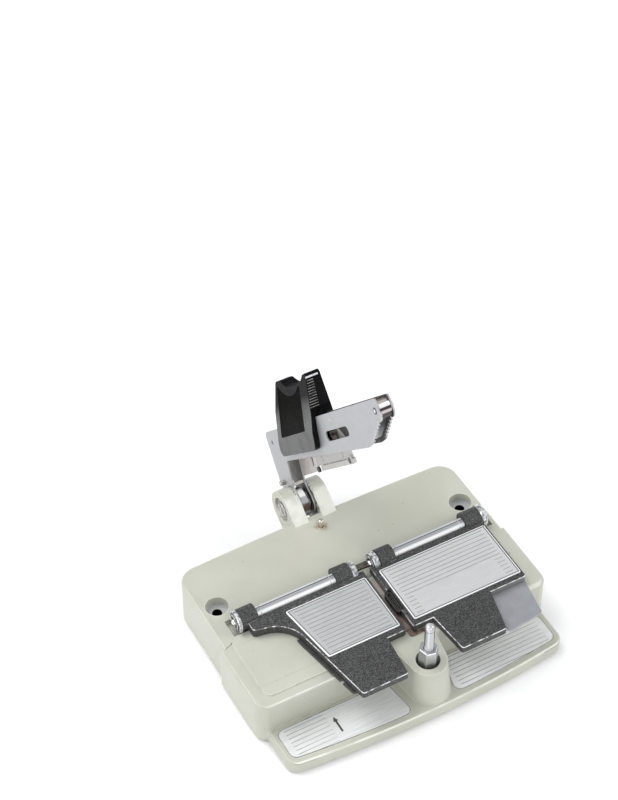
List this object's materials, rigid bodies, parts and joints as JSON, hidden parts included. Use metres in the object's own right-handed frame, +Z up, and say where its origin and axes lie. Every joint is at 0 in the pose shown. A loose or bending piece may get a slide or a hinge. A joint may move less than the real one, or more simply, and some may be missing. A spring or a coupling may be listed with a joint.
{
  "type": "film splicer",
  "caption": "Table splicer for narrow cine film: cast base, two folding film clamps on one axle, swinging press arm with toothed nose and a sprung stop post.",
  "frame": {"origin": "middle of the outline seen from above, on the surface that the feet stand on", "axes": "+X to the right along the clamp axle, +Y to the rear towards the arm hinge, +Z up"},
  "size_m": [0.157, 0.1594, 0.1641],
  "materials": {
    "enamel": "pale grey-green stoved enamel on a die casting, smooth semi-gloss",
    "hammertone": "charcoal speckled texture lacquer on castings",
    "plate": "satin anodised aluminium with fine dark printed stripes and a bright bevel",
    "label": "satin aluminium sheet with fine dark printed stripes",
    "chrome": "bright chrome or nickel plate",
    "steel": "satin plated sheet steel",
    "leaf": "grey-blue lacquered sheet",
    "dark_steel": "blackened steel",
    "black_plastic": "black moulded plastic",
    "black_inset": "matt black leathery inset",
    "bed": "dulled brownish metal strip",
    "rubber": "black rubber",
    "felt": "dark rubber pressure pad",
    "spring": "spring steel wire"
  },
  "bodies": {
    "base": {"base_casting": "enamel", "bottom_cover": "dark_steel", "rubber_feet": "rubber", "foot_screws": "steel", "front_label_left": "label", "front_label_right": "label", "stop_pin": "chrome", "film_bed": "bed", "hinge_bracket_1": "chrome", "hinge_bracket_2": "chrome", "hinge_bracket_3": "chrome", "hinge_bracket_4": "chrome", "clamp_axle": "chrome", "axle_caps": "chrome", "arm_hinge_pin": "steel", "hinge_nut": "steel", "left_sleeve": "chrome", "right_sleeve": "chrome"},
    "post": {"stop_sleeve": "steel", "plunger_spring": "spring"},
    "plunger": {"plunger_pin": "steel"},
    "left_leaf": {"left_leaf": "hammertone", "left_register_pins": "chrome"},
    "left_clamp": {"left_clamp": "hammertone", "left_plate": "plate", "left_pad": "felt"},
    "right_leaf": {"right_leaf": "leaf", "right_register_pins": "chrome"},
    "right_clamp": {"right_clamp": "hammertone", "right_plate": "plate", "right_pad": "felt", "guide_shoe": "dark_steel"},
    "arm": {"arm_plate_near": "steel", "arm_plate_far": "steel", "arm_spacers": "steel", "arm_stop_bar": "steel", "neck_bridge": "steel", "nose_strip": "dark_steel", "arm_web": "dark_steel", "carrier_link": "steel", "catch_coil": "spring", "roller_pin": "chrome", "tool_carrier": "steel", "blade_strip": "steel", "carrier_rivets": "steel", "carrier_catch": "steel", "handle_near": "black_plastic", "handle_far": "black_plastic", "grip_inset_near": "black_inset", "grip_inset_far": "black_inset", "hub_roller": "chrome", "torsion_spring": "spring"},
    "roller": {"nose_roller": "chrome"}
  },
  "joints": [
    {"name": "arm_hinge", "type": "hinge", "parent": "base", "child": "arm", "pos_m": [0, 0.0493, 0.0258], "axis": [-1, 0, 0], "range_deg": [-52.6, 0], "stiffness_Nm_per_rad": 0.05, "springref_deg": 45.84},
    {"name": "roller_turn", "type": "hinge", "parent": "arm", "child": "roller", "pos_m": [0, -0.02279, 0.15801], "axis": [1, 0, 0], "continuous": true},
    {"name": "post_turn", "type": "hinge", "parent": "base", "child": "post", "pos_m": [0.0034, -0.0653, 0.036], "axis": [0, 0, 1], "range_deg": [-90, 90]},
    {"name": "plunger_slide", "type": "slide", "parent": "post", "child": "plunger", "axis": [0, 0, -1], "range_m": [0, 0.0161], "deforming": ["plunger_spring"]},
    {"name": "left_leaf_hinge", "type": "hinge", "parent": "base", "child": "left_leaf", "pos_m": [0, -0.0049, 0.0305], "axis": [-1, 0, 0], "range_deg": [0, 50]},
    {"name": "left_clamp_hinge", "type": "hinge", "parent": "left_leaf", "child": "left_clamp", "pos_m": [0, -0.0049, 0.0305], "axis": [-1, 0, 0], "range_deg": [0, 95]},
    {"name": "right_leaf_hinge", "type": "hinge", "parent": "base", "child": "right_leaf", "pos_m": [0, -0.0049, 0.0305], "axis": [-1, 0, 0], "range_deg": [0, 50]},
    {"name": "right_clamp_hinge", "type": "hinge", "parent": "right_leaf", "child": "right_clamp", "pos_m": [0, -0.0049, 0.0305], "axis": [-1, 0, 0], "range_deg": [0, 95]}
  ],
  "couplings": [
    {"joint": "plunger_slide", "follows": "arm_hinge", "m_per_rad": -0.01753}
  ]
}
